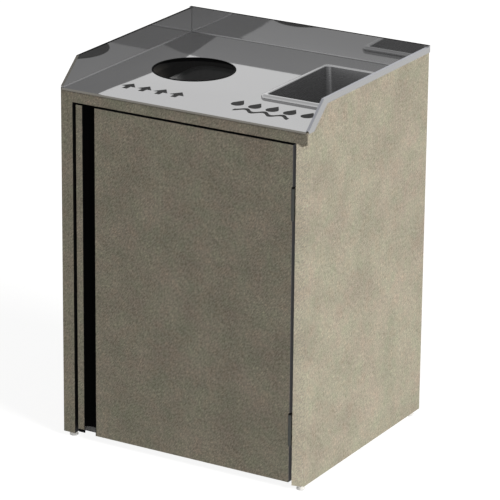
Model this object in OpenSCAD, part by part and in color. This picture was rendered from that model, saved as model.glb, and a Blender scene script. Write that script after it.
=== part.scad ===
// Waste cabinet for a shop or cafe, with a folded steel worktop that has a round drop hole
// and a drop-in pan for liquids. Sizes are in millimetres.
// X runs to the right, Y to the back and Z up. The front of the cabinet faces -Y.
// The origin lies on the floor, in the middle of the footprint.

/* [Cabinet] */
// Width over the outer faces of the side panels
cabinet_w = 690; // [640:1:800]
// Depth from the door's face to the rear face of the back panel
cabinet_d = 605; // [590:1:700]
// Height of the steel worktop above the floor
worktop_h = 914; // [885:1:950]
// Thickness of the side panels
side_t = 19; // [16:1:22]
// Thickness of the back panel
back_t = 12; // [9:1:18]
// Thickness of the bottom board
bottom_t = 19; // [15:1:22]
// Thickness of the deck board under the steel
deck_t = 18; // [12:1:20]
// Height of the plinth board under the bottom board
plinth_h = 51; // [30:1:60]
// Thickness of the plinth and of the cleats
cleat_t = 19; // [15:1:22]
// Height of the cleats that carry the deck
cleat_h = 30; // [20:1:45]

/* [Face frame] */
// Height of the front top rail
rail_h = 31; // [26:1:45]
// Width of the left stile, with the edge of the side panel
stile_w = 33; // [30:1:45]
// Width of the right post, with the edge of the side panel
post_w = 30; // [30:1:45]
// Depth of the rail and the stiles
frame_t = 30; // [29:1:36]
// Width of the bevel on the right front corner
bevel_w = 30; // [10:1:30]
// Depth of the bevel along the side
bevel_d = 8; // [5:1:24]

/* [Steel worktop] */
// Thickness of the steel sheet
sheet_t = 1.5; // [1:0.1:2]
// Height of the back splash above the worktop
splash_h = 66; // [63:1:90]
// Height of the side splashes above the worktop
side_h = 63; // [40:1:66]
// Length over which the side splashes slope up from the front
splash_run = 73; // [40:1:120]
// Width of the lip on the outer side of the splashes
lip_drop = 15; // [10:1:24]
// Width of that lip along the slope
slope_lip = 22; // [12:1:26]
// Drop of the lip along the front edge
front_drop = 5; // [2:0.5:8]
// Thickness of the tongue that the splashes are hooked over
tongue_t = 3.5; // [2.5:0.5:6]
// Gap between the tongue and the steel
tongue_gap = 0.3; // [0.2:0.1:0.5]
// Length of the open notch at each front corner of the steel
corner_notch = 3; // [2:0.5:6]
// Radius of the folds between the worktop and its splashes
fold_r = 3; // [1:0.5:5]

/* [Drop hole] */
// Radius of the hole in the steel
hole_r = 102; // [80:1:110]
// Distance of the hole's centre from the left side
hole_x = 192; // [185:1:200]
// Width by which the deck's cut-out clears the hole
deck_clear = 38; // [20:1:42]
// Width of the edge trim on the steel round the hole
trim_w = 3; // [2:0.5:5]
// Thickness of the edge trim
trim_t = 1.2; // [0.8:0.1:2]

/* [Liquids pan] */
// Width of the pan over its rolled rim
pan_w = 176; // [150:1:190]
// Length of the pan over its rolled rim
pan_l = 325; // [280:1:340]
// Depth of the pan below its rim
pan_depth = 150; // [60:1:200]
// Distance of the pan's centre from the right side
pan_x = 151; // [125:1:160]
// Distance of the pan's centre from the front
pan_y = 345; // [330:1:360]
// Width of the flat flange between the mouth and the rim's edge
pan_flange = 13.5; // [10:0.5:16]
// Radius of the rolled rim
pan_roll_r = 4.1; // [2.5:0.1:5]
// Corner radius of the rim
pan_corner = 22; // [20:1:40]
// Thickness of the pan's sheet
pan_t = 1.2; // [0.8:0.1:2]
// Inward slope of each wall from the mouth to the bottom
pan_taper = 11; // [4:1:16]
// Gap between the pan and the edge of its cut-out
pan_gap = 2.5; // [1:0.5:3]

/* [Waste bin] */
// Width of the bin over its rim
bin_w = 280; // [240:1:290]
// Room between the face frame and the bin's rim
bin_front_gap = 22; // [15:1:60]
// Room between the bin's rim and the back panel
bin_rear_gap = 33; // [30:1:60]
// Room between the bin's rim and the deck board
bin_top_gap = 48.5; // [35:0.5:150]
// Wall of the bin
bin_t = 3; // [2:0.5:4]
// Inward slope of each wall from the rim to the base
bin_taper = 26; // [10:1:35]
// Corner radius of the rim
bin_corner = 46; // [30:1:70]
// Radius of the rolled rim
bin_roll_r = 6; // [4:0.5:8]
// Width of each hand hole
grip_w = 92; // [80:1:110]
// Height of each hand hole
grip_h = 28; // [22:1:34]
// Depth of the hand holes' middle below the rim
grip_drop = 60; // [45:1:80]
// Height of the guides beside the bin's base
guide_h = 22; // [12:1:30]
// Width of the guides
guide_w = 12; // [8:1:15]
// Gap between the bin and its guides
guide_gap = 4; // [2:0.5:8]

/* [Door] */
// Thickness of the door panel
door_t = 20; // [16:1:21]
// Gap above the door
gap_top = 5.5; // [2:0.5:6]
// Height of the door's lower edge above the side panels' lower edge
door_lift = 6; // [3:0.5:10]
// Gap at the hinge side
gap_hinge = 9; // [8:0.5:10]
// Gap beside the pull
gap_pull = 10; // [5:0.5:14]
// Inner radius of the pull's trough
pull_r = 25; // [20:1:25]
// Wall of the pull
pull_t = 2; // [1.5:0.1:2.5]
// Width of the lip over the trough
lip_w = 18; // [12:1:24]
// Thickness of the laminate strip on the lip
strip_t = 3; // [2:0.5:4]
// Length by which the strip stops short of the door's lower edge
strip_short = 9; // [0:1:20]
// Height of the trim at the lower end of the trough
end_trim_h = 11; // [5:1:20]
// Thickness of that trim
end_trim_t = 1.5; // [1:0.1:2]
// Width of the pull's rear flange on the door's back
pull_flange = 34; // [28:1:45]

/* [Hinges] */
// Height of each hinge
hinge_h = 80; // [60:1:90]
// Distance from the door's lower edge to the middle of the lower hinge
hinge_low = 139; // [100:1:200]
// Distance from the door's upper edge to the middle of the upper hinge
hinge_high = 145; // [100:1:200]
// Number of knuckles in a hinge
knuckles = 5; // [3:2:7]
// Radius of the knuckles
knuckle_r = 4.5; // [4.3:0.1:5]
// Gap between knuckles
knuckle_gap = 0.3; // [0.2:0.05:0.5]
// Radius of the hinge pin
pin_r = 2.5; // [2:0.1:3]
// Running clearance of the pin in its knuckles
pin_fit = 0.05; // [0.02:0.01:0.1]
// Distance of the pin in front of the door's face
pin_out = 4; // [3.5:0.5:4.5]
// Radius of the pin's head
pin_head_r = 4; // [3.5:0.1:4.5]
// Height of the straight part of the pin's head
pin_head_h = 2.5; // [1:0.1:4]
// Thickness of a hinge leaf
leaf_t = 2; // [1.5:0.1:2.5]
// Screws in each leaf
leaf_screws = 3; // [2:1:3]

/* [Catch and bumpers] */
// Distance of the catch from the left side
catch_x = 180; // [165:1:300]
// Width of the catch
catch_w = 44; // [36:1:60]
// Height of the catch
catch_h = 14; // [12:1:18]
// Length of the magnet, from front to back
magnet_l = 10; // [6:0.5:10]
// Thickness of the strike plate on the door
strike_t = 1.5; // [1:0.1:2]
// Overlap of the stop cleat behind the door's top edge
stop_overlap = 8; // [7:0.5:12]
// Radius of the rubber bumpers
bumper_r = 3.5; // [2.5:0.1:3.5]
// Distance of the bumpers beside the pull from the end of the stop cleat
bumper_left = 110; // [20:5:160]
// Distance of the bumpers beside the hinges from the right post
bumper_right = 60; // [40:5:120]

/* [Feet] */
// Height of the feet between the floor and the side panels
foot_h = 14; // [12:1:25]
// Radius of a foot's pad
foot_r = 11; // [9:0.5:14]
// Thickness of a foot's pad
foot_pad_t = 7; // [5:0.5:8]
// Radius of a foot's threaded stud
stud_r = 4; // [3:0.5:4.5]
// Length of the stud inside the panel
stud_l = 24; // [15:1:40]
// Distance of the feet's middles from the side faces
foot_side = 16; // [14:1:18]
// Distance of the feet's middles from the front and from the rear
foot_inset = 22; // [20:1:23]
// Width of the blocks that back up the rear feet
block_w = 20; // [16:1:30]
// Length of those blocks
block_l = 40; // [36:1:60]

/* [Screws and fits] */
// Radius of the screws' shanks
screw_r = 1.9; // [1.5:0.1:2]
// Radius of the screws' heads
screw_head_r = 3.9; // [3:0.1:4]
// Clearance round screws and inserts
screw_gap = 0.1; // [0.05:0.01:0.2]
// Length of the screws
screw_l = 12; // [8:1:13]
// Distance of the outer back screws from the side panels
back_screw_edge = 60; // [30:5:120]
// Distance of the pull's outer screws from the ends of the door
pull_screw_edge = 50; // [30:5:100]
// Gap between a moving piece and the piece that it rests on
seat_gap = 0.3; // [0.2:0.05:0.5]

/* [Hidden] */
$fn = 64;

// Heights
deck_top = worktop_h - sheet_t;
deck_bottom = deck_top - deck_t;
rail_bottom = deck_top - rail_h;
splash_top = worktop_h + splash_h;
side_top = worktop_h + side_h;
bin_floor = foot_h + plinth_h + bottom_t;
bin_h = deck_bottom - bin_floor - bin_top_gap;
door_bottom = foot_h + door_lift;
door_top = rail_bottom - gap_top;
bottom_middle = bin_floor - bottom_t / 2;
deck_middle = deck_top - deck_t / 2;

// Places along X and Y
back_inner = cabinet_d - back_t;
bin_l = back_inner - frame_t - bin_front_gap - bin_rear_gap;
hole_y = frame_t + bin_front_gap + bin_l / 2;
lip_out = tongue_gap + sheet_t;
wall_in = tongue_t + tongue_gap;
splash_in = wall_in + sheet_t;
pan_middle_x = cabinet_w - pan_x;
hinge_face = cabinet_w - post_w;
door_right = hinge_face - gap_hinge;
hinge_x = hinge_face - gap_hinge / 2;
pull_left = stile_w + gap_pull;
trough_x = pull_left + pull_t + pull_r;
trough_outer = pull_r + pull_t;
front_y = -pin_out - knuckle_r;
rear_y = cabinet_d + lip_out;
middle_y = (front_y + rear_y) / 2;

// The slope of the side splashes, and how a width across it grows when it is measured straight down
slope = side_h / splash_run;
slope_rise = sqrt(1 + slope * slope);
slope_t = sheet_t * slope_rise;
back_tongue_top = splash_top - sheet_t - tongue_gap;
side_tongue_top = side_top - sheet_t - tongue_gap;
tongue_start = (slope_t + tongue_gap - sheet_t) / slope;
tongue_bend = splash_run + (slope_t - sheet_t) / slope;

// Where the lip's lower edge bends, and where it reaches its lowest level at the front
lip_bottom = side_top - lip_drop;
front_bottom = worktop_h - front_drop;
lip_bend = (lip_bottom - worktop_h + slope_lip * slope_rise) / slope;
lip_foot = (front_bottom - worktop_h + slope_lip * slope_rise) / slope;

// Hinges and feet
hinge_z = [door_bottom + hinge_low - hinge_h / 2, door_top - hinge_high - hinge_h / 2];
knuckle_h = (hinge_h - (knuckles - 1) * knuckle_gap) / knuckles;
knuckle_pitch = knuckle_h + knuckle_gap;
leaf_start = knuckle_r + 2 * knuckle_gap;
leaf_end = pin_out + door_t - 1;
leaf_screw_y = (leaf_start + leaf_end) / 2;
leaf_screw_edge = hinge_h / 6;
insert_r = stud_r + 1.5;
insert_flange_r = 9;
insert_flange_t = 1.2;
insert_l = 22;
foot_x = [foot_side, cabinet_w - foot_side];
foot_y = [foot_inset, cabinet_d - foot_inset];

// Puts a piece that is drawn from the cabinet's left front corner in its place round the origin
module placed() {
    translate([-cabinet_w / 2, -middle_y, 0]) children();
}

// The same piece on the right-hand side
module right_hand() {
    translate([cabinet_w, 0, 0]) mirror([1, 0, 0]) children();
}

// An outline on Y and Z, extruded along X from x over a length
module along_x(x, length) {
    translate([x, 0, 0]) rotate([90, 0, 90]) linear_extrude(length) children();
}

// An outline on X and Z, extruded along Y from y over a length
module along_y(y, length) {
    translate([0, y + length, 0]) rotate([90, 0, 0]) linear_extrude(length) children();
}

module rounded_rectangle(w, l, r) {
    square([w - 2 * r, l], center = true);
    square([w, l - 2 * r], center = true);
    for (sx = [-1, 1], sy = [-1, 1])
        translate([sx * (w / 2 - r), sy * (l / 2 - r)]) circle(r = r);
}

// A thin slice of a rounded rectangle, for the hulls of the pan and the bin
module slice(w, l, r, z) {
    translate([0, 0, z]) linear_extrude(0.5) rounded_rectangle(w, l, r, $fn = 32);
}

// An open tub with sloping walls, standing on z = 0
module tapered_tub(w, l, r, h, taper, wall) {
    difference() {
        hull() {
            slice(w - 2 * taper, l - 2 * taper, r - taper / 2, 0);
            slice(w, l, r, h - 0.5);
        }
        hull() {
            slice(w - 2 * (taper + wall), l - 2 * (taper + wall), r - taper / 2 - wall, wall);
            slice(w - 2 * wall, l - 2 * wall, r - wall, h);
        }
    }
}

// A round bead along the edge of a rounded rectangle, with its middle at z = 0
module rolled_rim(w, l, r, roll) {
    for (sx = [-1, 1], sy = [-1, 1])
        translate([sx * (w / 2 - r), sy * (l / 2 - r), 0])
            rotate(sx > 0 ? (sy > 0 ? 0 : 270) : (sy > 0 ? 90 : 180))
                rotate_extrude(angle = 90) translate([r - roll, 0]) circle(r = roll, $fn = 32);
    for (s = [-1, 1]) {
        translate([s * (w / 2 - roll), 0, 0]) rotate([90, 0, 0])
            cylinder(r = roll, h = l - 2 * r, center = true, $fn = 32);
        translate([0, s * (l / 2 - roll), 0]) rotate([0, 90, 0])
            cylinder(r = roll, h = w - 2 * r, center = true, $fn = 32);
    }
}

// A screw that points along +Z, with the top of its countersunk head at z = 0
module sunk_screw(length, gap) {
    cylinder(r = screw_r + gap, h = length, $fn = 24);
    cylinder(r1 = screw_head_r + gap, r2 = screw_r + gap, h = leaf_t, $fn = 24);
}

// Carcass
module tongue_outline() {
    polygon([[tongue_start, deck_top - 1], [tongue_start, deck_top], [tongue_bend, side_tongue_top],
             [cabinet_d, side_tongue_top], [cabinet_d, deck_top - 1]]);
}

module insert_bores() {
    for (x = foot_x, y = foot_y)
        translate([x, y, foot_h - 1]) cylinder(r = insert_r + screw_gap, h = stud_l + 5);
}

// The wedge that bevels the right front corner, from the floor to the underside of the rail
module corner_bevel() {
    past = 0.2;
    translate([0, 0, -1]) linear_extrude(rail_bottom + 1)
        polygon([[cabinet_w - bevel_w * (1 + past), -bevel_d * past],
                 [cabinet_w + bevel_w * past, bevel_d * (1 + past)],
                 [cabinet_w + bevel_w * past, -bevel_d * past]]);
}

module side_board() {
    translate([0, 0, foot_h]) cube([side_t, cabinet_d, deck_top - foot_h]);
    along_x(0, tongue_t) tongue_outline();
}

module side_panel_left() {
    color("#8f8873") placed() difference() {
        side_board();
        insert_bores();
    }
}

module side_panel_right() {
    color("#aaa390") placed() difference() {
        right_hand() side_board();
        insert_bores();
        corner_bevel();
        hinge_screw_holes(1);
    }
}

module back_screw_places() {
    count = 4;
    edge = side_t + back_screw_edge;
    step = (cabinet_w - 2 * edge) / (count - 1);
    for (z = [bottom_middle, deck_middle], i = [0 : count - 1])
        translate([edge + i * step, cabinet_d, z]) rotate([90, 0, 0]) children();
}

module back_screw_holes() {
    back_screw_places() translate([0, 0, -1])
        cylinder(r = screw_r + screw_gap, h = back_t + screw_l + 2, $fn = 24);
}

module back_panel() {
    color("#9a927d") placed() difference() {
        union() {
            translate([side_t, back_inner, foot_h])
                cube([cabinet_w - 2 * side_t, back_t, deck_top - foot_h]);
            along_y(cabinet_d - tongue_t, tongue_t)
                polygon([[side_t, deck_bottom], [side_t, deck_top], [tongue_t, deck_top],
                         [tongue_t, back_tongue_top], [cabinet_w - tongue_t, back_tongue_top],
                         [cabinet_w - tongue_t, deck_top], [cabinet_w - side_t, deck_top],
                         [cabinet_w - side_t, deck_bottom]]);
        }
        back_screw_holes();
    }
}

module bottom_board() {
    color("#4a4843") placed() difference() {
        translate([side_t, frame_t, bin_floor - bottom_t])
            cube([cabinet_w - 2 * side_t, back_inner - frame_t, bottom_t]);
        back_screw_holes();
    }
}

module plinth_board() {
    color("#4a4843") placed()
        translate([side_t, frame_t, foot_h]) cube([cabinet_w - 2 * side_t, cleat_t, plinth_h]);
}

module top_rail() {
    color("#6b6559") placed()
        translate([side_t, 0, rail_bottom]) cube([cabinet_w - 2 * side_t, frame_t, rail_h]);
}

module stile(width) {
    translate([side_t, 0, foot_h]) cube([width - side_t, frame_t, rail_bottom - foot_h]);
}

module stile_left() {
    color("#6b6559") placed() difference() {
        stile(stile_w);
        insert_bores();
    }
}

module stile_right() {
    color("#aaa390") placed() difference() {
        right_hand() stile(post_w);
        insert_bores();
        corner_bevel();
        hinge_screw_holes(1);
    }
}

module foot_block() {
    difference() {
        translate([side_t, back_inner - block_l, foot_h]) cube([block_w, block_l, plinth_h]);
        insert_bores();
    }
}

module foot_block_left() {
    color("#4a4843") placed() foot_block();
}

module foot_block_right() {
    color("#4a4843") placed() right_hand() foot_block();
}

module pan_cutout(gap) {
    translate([pan_middle_x, pan_y])
        rounded_rectangle(pan_w - 2 * pan_flange + 2 * gap, pan_l - 2 * pan_flange + 2 * gap,
                          pan_corner - pan_flange + gap);
}

module deck_board() {
    color("#3d3b37") placed() difference() {
        translate([0, 0, deck_bottom]) linear_extrude(deck_t) difference() {
            translate([side_t, frame_t]) square([cabinet_w - 2 * side_t, back_inner - frame_t]);
            translate([hole_x, hole_y]) circle(r = hole_r + deck_clear);
            pan_cutout(2 * pan_gap);
        }
        back_screw_holes();
    }
}

module deck_cleat() {
    end_gap = 30;
    translate([side_t, frame_t + cleat_t + end_gap, deck_bottom - cleat_h])
        cube([cleat_t, back_inner - frame_t - cleat_t - 2 * end_gap, cleat_h]);
}

module deck_cleat_left() {
    color("#4a4843") placed() deck_cleat();
}

module deck_cleat_right() {
    color("#4a4843") placed() right_hand() deck_cleat();
}

// Fixed behind the rail, so that the door's top edge closes against its bumpers
stop_past_pull = 20;
stop_bottom = door_top - stop_overlap;
stop_left = trough_x + trough_outer + stop_past_pull;

module stop_cleat() {
    color("#4a4843") placed()
        translate([stop_left, frame_t, stop_bottom])
            cube([hinge_face - stop_left, cleat_t, deck_bottom - stop_bottom]);
}

module back_screws() {
    head_t = 1.2;
    color("#b9b9bd") placed() back_screw_places() {
        cylinder(r = screw_r, h = back_t + screw_l, $fn = 24);
        translate([0, 0, -head_t]) cylinder(r = screw_head_r, h = head_t, $fn = 24);
    }
}

// Steel worktop. Each splash is an upside-down U that is hooked over the tongue of its panel:
// an inner wall, a narrow top and an outer lip. The side ones slope down to nothing at the front.
function splash_line(y) = worktop_h + slope * min(y, splash_run);

module side_wall_outline() {
    polygon([[0, deck_top], [0, worktop_h], [splash_run, side_top],
             [cabinet_d - wall_in, side_top], [cabinet_d - wall_in, deck_top]]);
}

module side_top_outline() {
    polygon([[corner_notch, splash_line(corner_notch)], [splash_run, side_top],
             [cabinet_d - wall_in, side_top], [cabinet_d - wall_in, side_top - sheet_t],
             [tongue_bend, side_top - sheet_t], [corner_notch, splash_line(corner_notch) - slope_t]]);
}

module side_lip_outline() {
    polygon([[corner_notch, splash_line(corner_notch)], [splash_run, side_top],
             [cabinet_d - splash_in, side_top], [cabinet_d - splash_in, splash_top],
             [rear_y, splash_top], [rear_y, lip_bottom], [lip_bend, lip_bottom],
             [lip_foot, front_bottom], [corner_notch, front_bottom]]);
}

// What rounds the corner that two square sheets leave, as high as the sloping splash allows
module fold_corner() {
    difference() {
        square(fold_r);
        translate([fold_r, fold_r]) circle(r = fold_r);
    }
}

module side_fold() {
    intersection() {
        along_y(corner_notch, cabinet_d - splash_in - corner_notch)
            translate([splash_in, worktop_h]) fold_corner();
        along_x(splash_in - 1, fold_r + 2) side_wall_outline();
    }
}

module side_splash() {
    side_fold();
    along_x(wall_in, sheet_t) side_wall_outline();
    along_x(-lip_out, splash_in + lip_out) side_top_outline();
    along_x(-lip_out, sheet_t) side_lip_outline();
}

module back_splash() {
    width = cabinet_w + 2 * lip_out;
    translate([wall_in, cabinet_d - splash_in, deck_top])
        cube([cabinet_w - 2 * wall_in, sheet_t, splash_top - deck_top]);
    translate([-lip_out, cabinet_d - splash_in, side_top - sheet_t])
        cube([width, sheet_t, splash_top - side_top + sheet_t]);
    along_x(splash_in, cabinet_w - 2 * splash_in)
        translate([cabinet_d - splash_in, worktop_h]) mirror([1, 0]) fold_corner();
    translate([-lip_out, cabinet_d - splash_in, splash_top - sheet_t])
        cube([width, splash_in + lip_out, sheet_t]);
    translate([-lip_out, cabinet_d + tongue_gap, lip_bottom])
        cube([width, sheet_t, splash_top - lip_bottom]);
}

module steel_worktop() {
    color("#b9b9b9") placed() {
        translate([0, 0, deck_top]) linear_extrude(sheet_t) difference() {
            translate([wall_in, -lip_out])
                square([cabinet_w - 2 * wall_in, cabinet_d - wall_in + lip_out]);
            translate([hole_x, hole_y]) circle(r = hole_r);
            pan_cutout(pan_gap);
        }
        translate([wall_in, -lip_out, front_bottom])
            cube([cabinet_w - 2 * wall_in, sheet_t, front_drop]);
        side_splash();
        right_hand() side_splash();
        back_splash();
    }
}

// A black channel section pushed over the edge of the steel
module hole_trim() {
    color("#1c1c1e") placed() translate([hole_x, hole_y, deck_top + sheet_t / 2])
        rotate_extrude($fn = 96) difference() {
            translate([hole_r - trim_t, -sheet_t / 2 - trim_t])
                square([trim_w + trim_t, sheet_t + 2 * trim_t]);
            translate([hole_r, -sheet_t / 2]) square([trim_w + 1, sheet_t]);
        }
}

// Pan, hung by its rolled rim
module liquids_pan() {
    mouth_w = pan_w - 2 * pan_flange;
    mouth_l = pan_l - 2 * pan_flange;
    mouth_corner = pan_corner - pan_flange + pan_t;
    rim_z = worktop_h + seat_gap + pan_roll_r;
    rim_top = rim_z + pan_roll_r;
    color("#8c8c8e") placed() translate([pan_middle_x, pan_y, 0]) {
        translate([0, 0, rim_z]) rolled_rim(pan_w, pan_l, pan_corner, pan_roll_r);
        translate([0, 0, rim_top - pan_t]) linear_extrude(pan_t) difference() {
            rounded_rectangle(pan_w - 2 * pan_roll_r, pan_l - 2 * pan_roll_r, pan_corner - pan_roll_r);
            rounded_rectangle(mouth_w, mouth_l, mouth_corner - pan_t);
        }
        translate([0, 0, rim_top - pan_depth])
            tapered_tub(mouth_w + 2 * pan_t, mouth_l + 2 * pan_t, mouth_corner,
                        pan_depth, pan_taper, pan_t);
    }
}

// Bin, standing on the bottom board between its guides
module grip_hole() {
    round_r = grip_h / 2;
    for (sx = [-1, 1]) translate([sx * (grip_w / 2 - round_r), 0, bin_h - grip_drop]) rotate([90, 0, 0])
        cylinder(r = round_r, h = bin_l + 10, center = true);
    translate([0, 0, bin_h - grip_drop]) cube([grip_w - grip_h, bin_l + 10, grip_h], center = true);
}

module waste_bin() {
    shell_w = bin_w - 2 * bin_roll_r;
    shell_l = bin_l - 2 * bin_roll_r;
    shell_corner = bin_corner - bin_roll_r;
    band_h = 26;
    color("#7c7f82") placed() translate([hole_x, hole_y, bin_floor]) difference() {
        union() {
            tapered_tub(shell_w, shell_l, shell_corner, bin_h - bin_roll_r, bin_taper, bin_t);
            translate([0, 0, bin_h - bin_roll_r]) rolled_rim(bin_w, bin_l, bin_corner, bin_roll_r);
            translate([0, 0, bin_h - bin_roll_r - band_h]) linear_extrude(band_h) difference() {
                rounded_rectangle(shell_w + bin_t, shell_l + bin_t, shell_corner + bin_t / 2);
                rounded_rectangle(shell_w - 2 * bin_t, shell_l - 2 * bin_t, shell_corner - bin_t);
            }
        }
        grip_hole();
    }
}

module bin_guide(side) {
    base_w = bin_w - 2 * bin_roll_r - 2 * bin_taper;
    length = bin_l - 4 * bin_taper;
    inner = side * (base_w / 2 + guide_gap);
    translate([hole_x + inner - (side < 0 ? guide_w : 0), hole_y - length / 2, bin_floor])
        cube([guide_w, length, guide_h]);
}

module bin_guide_left() {
    color("#4a4843") placed() bin_guide(-1);
}

module bin_guide_right() {
    color("#4a4843") placed() bin_guide(1);
}

module bin_stop() {
    base_w = bin_w - 2 * bin_roll_r - 2 * bin_taper;
    base_rear = hole_y + bin_l / 2 - bin_roll_r - bin_taper;
    color("#4a4843") placed()
        translate([hole_x - base_w / 3, base_rear + guide_gap, bin_floor])
            cube([base_w * 2 / 3, guide_w, guide_h]);
}

// Door
module hinge_screw_places(side) {
    step = (hinge_h - 2 * leaf_screw_edge) / (leaf_screws - 1);
    for (z = hinge_z, i = [0 : leaf_screws - 1])
        translate([hinge_x + side * (gap_hinge / 2 - leaf_t), leaf_screw_y - pin_out,
                   z + leaf_screw_edge + i * step])
            rotate([0, 90 * side, 0]) children();
}

module hinge_screw_holes(side) {
    hinge_screw_places(side) cylinder(r = screw_r + screw_gap, h = leaf_t + screw_l + 1, $fn = 24);
}

// The flange starts inside the trough's outer radius, and this is by how much
flange_in = 8;
pull_screw_x = trough_x + trough_outer + (pull_flange - flange_in) / 2;

module pull_screw_places() {
    count = 5;
    step = (door_top - door_bottom - 2 * pull_screw_edge) / (count - 1);
    for (i = [0 : count - 1])
        translate([pull_screw_x, door_t + pull_t, door_bottom + pull_screw_edge + i * step])
            rotate([90, 0, 0]) children();
}

module strike_screw_places() {
    for (s = [-1, 1])
        translate([catch_x + s * catch_w / 4, door_t + strike_t, stop_bottom - catch_h / 2])
            rotate([90, 0, 0]) children();
}

module door_panel() {
    color("#6f695c") placed() difference() {
        translate([trough_x, 0, door_bottom]) cube([door_right - trough_x, door_t, door_top - door_bottom]);
        translate([trough_x, 0, door_bottom - 1])
            cylinder(r = trough_outer + screw_gap, h = door_top - door_bottom + 2, $fn = 96);
        hinge_screw_holes(-1);
        pull_screw_places() cylinder(r = screw_r + screw_gap, h = pull_t + screw_l + 1, $fn = 24);
        strike_screw_places() cylinder(r = screw_r + screw_gap, h = strike_t + screw_l + 1, $fn = 24);
    }
}

// An extruded section: the half-round trough, the lip over its left part and the rear flange
module pull_outline() {
    flange_start = sqrt(pow(trough_outer, 2) - pow(door_t, 2)) - 1;
    flange_end = trough_outer + pull_flange - flange_in;
    difference() {
        union() {
            intersection() {
                circle(r = trough_outer, $fn = 96);
                translate([-trough_outer, 0]) square([2 * trough_outer, trough_outer]);
            }
            translate([flange_start, door_t]) square([flange_end - flange_start, pull_t]);
        }
        circle(r = pull_r, $fn = 96);
        translate([-trough_outer - 1, -1]) square([trough_outer, strip_t + 1]);
    }
    translate([-trough_outer, strip_t]) square([lip_w, pull_t]);
}

module door_pull() {
    color("#141414") placed() difference() {
        translate([trough_x, 0, door_bottom]) linear_extrude(door_top - door_bottom) pull_outline();
        pull_screw_places() sunk_screw(pull_t + 2, screw_gap);
    }
}

module pull_screws() {
    color("#b9b9bd") placed() pull_screw_places() sunk_screw(pull_t + screw_l, 0);
}

module pull_lip_strip() {
    color("#6b6559") placed() translate([pull_left, 0, door_bottom + strip_short])
        cube([lip_w, strip_t, door_top - door_bottom - strip_short]);
}

module pull_end_trim() {
    color("#8a8a88") placed() translate([trough_x, 0, door_bottom]) linear_extrude(end_trim_h)
        intersection() {
            difference() {
                circle(r = pull_r, $fn = 96);
                circle(r = pull_r - end_trim_t, $fn = 96);
            }
            translate([-pull_r, strip_t + pull_t]) square([2 * pull_r, pull_r]);
        }
}

// Butt hinges. The odd knuckles, counted from the bottom, belong to the leaf on the stile.
module hinge_leaf(side, first) {
    inner = gap_hinge / 2 - leaf_t;
    difference() {
        union() {
            translate([side > 0 ? inner : -inner - leaf_t, leaf_start, 0])
                cube([leaf_t, leaf_end - leaf_start, hinge_h]);
            for (i = [first : 2 : knuckles - 1]) translate([0, 0, i * knuckle_pitch]) {
                cylinder(r = knuckle_r, h = knuckle_h);
                translate([side > 0 ? inner : -inner - leaf_t, 0, 0])
                    cube([leaf_t, leaf_start + 1, knuckle_h]);
            }
        }
        translate([0, 0, -1]) cylinder(r = pin_r + pin_fit, h = hinge_h + 2);
    }
}

module hinge_leaf_at(z, side, first) {
    difference() {
        translate([hinge_x, -pin_out, z]) hinge_leaf(side, first);
        hinge_screw_places(side) sunk_screw(leaf_t + 2, screw_gap);
    }
}

module hinge_pin(z) {
    translate([hinge_x, -pin_out, z]) {
        cylinder(r = pin_r, h = hinge_h);
        translate([0, 0, hinge_h]) cylinder(r = pin_head_r, h = pin_head_h);
        translate([0, 0, hinge_h + pin_head_h]) cylinder(r1 = pin_head_r, r2 = pin_r, h = 1);
    }
}

module hinge_frame_leaf_lower() {
    color("#4b4e4b") placed() hinge_leaf_at(hinge_z[0], 1, 0);
}

module hinge_frame_leaf_upper() {
    color("#4b4e4b") placed() hinge_leaf_at(hinge_z[1], 1, 0);
}

module hinge_door_leaf_lower() {
    color("#5a5d5a") placed() hinge_leaf_at(hinge_z[0], -1, 1);
}

module hinge_door_leaf_upper() {
    color("#5a5d5a") placed() hinge_leaf_at(hinge_z[1], -1, 1);
}

module hinge_pin_lower() {
    color("#2b2b2b") placed() hinge_pin(hinge_z[0]);
}

module hinge_pin_upper() {
    color("#2b2b2b") placed() hinge_pin(hinge_z[1]);
}

module hinge_frame_screws() {
    color("#b9b9bd") placed() hinge_screw_places(1) sunk_screw(leaf_t + screw_l, 0);
}

module hinge_door_screws() {
    color("#b9b9bd") placed() hinge_screw_places(-1) sunk_screw(leaf_t + screw_l, 0);
}

// Magnetic catch under the stop cleat, and its strike plate on the door
catch_front = door_t + strike_t + seat_gap;
magnet_h = catch_h / 2;
catch_ear = 8;
magnet_w = catch_w - 2 * catch_ear;

module catch_outline(w, h) {
    translate([catch_x, stop_bottom - catch_h / 2]) square([w, h], center = true);
}

module catch_screw_places() {
    for (s = [-1, 1])
        translate([catch_x + s * (catch_w - catch_ear) / 2, frame_t + cleat_t / 4, stop_bottom - catch_h])
            children();
}

module catch_body() {
    color("#d8d8d4") placed() difference() {
        along_y(catch_front, frame_t + cleat_t * 2 / 3 - catch_front) catch_outline(catch_w, catch_h);
        along_y(catch_front - 1, magnet_l + 1) catch_outline(magnet_w, magnet_h);
        catch_screw_places() translate([0, 0, -1])
            cylinder(r = screw_r + screw_gap, h = catch_h + 2, $fn = 24);
    }
}

module catch_magnet() {
    color("#3a3a3c") placed() along_y(catch_front, magnet_l) catch_outline(magnet_w, magnet_h);
}

module catch_screws() {
    color("#b9b9bd") placed() catch_screw_places() {
        cylinder(r = screw_r, h = catch_h, $fn = 24);
        translate([0, 0, -leaf_t]) cylinder(r = screw_head_r, h = leaf_t, $fn = 24);
    }
}

module strike_plate() {
    color("#a5a5a8") placed() difference() {
        along_y(door_t, strike_t) catch_outline(catch_w, catch_h);
        strike_screw_places() translate([0, 0, -1])
            cylinder(r = screw_r + screw_gap, h = strike_t + 2, $fn = 24);
    }
}

module strike_screws() {
    color("#b9b9bd") placed() strike_screw_places()
        cylinder(r = screw_r, h = strike_t + screw_l, $fn = 24);
}

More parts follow.
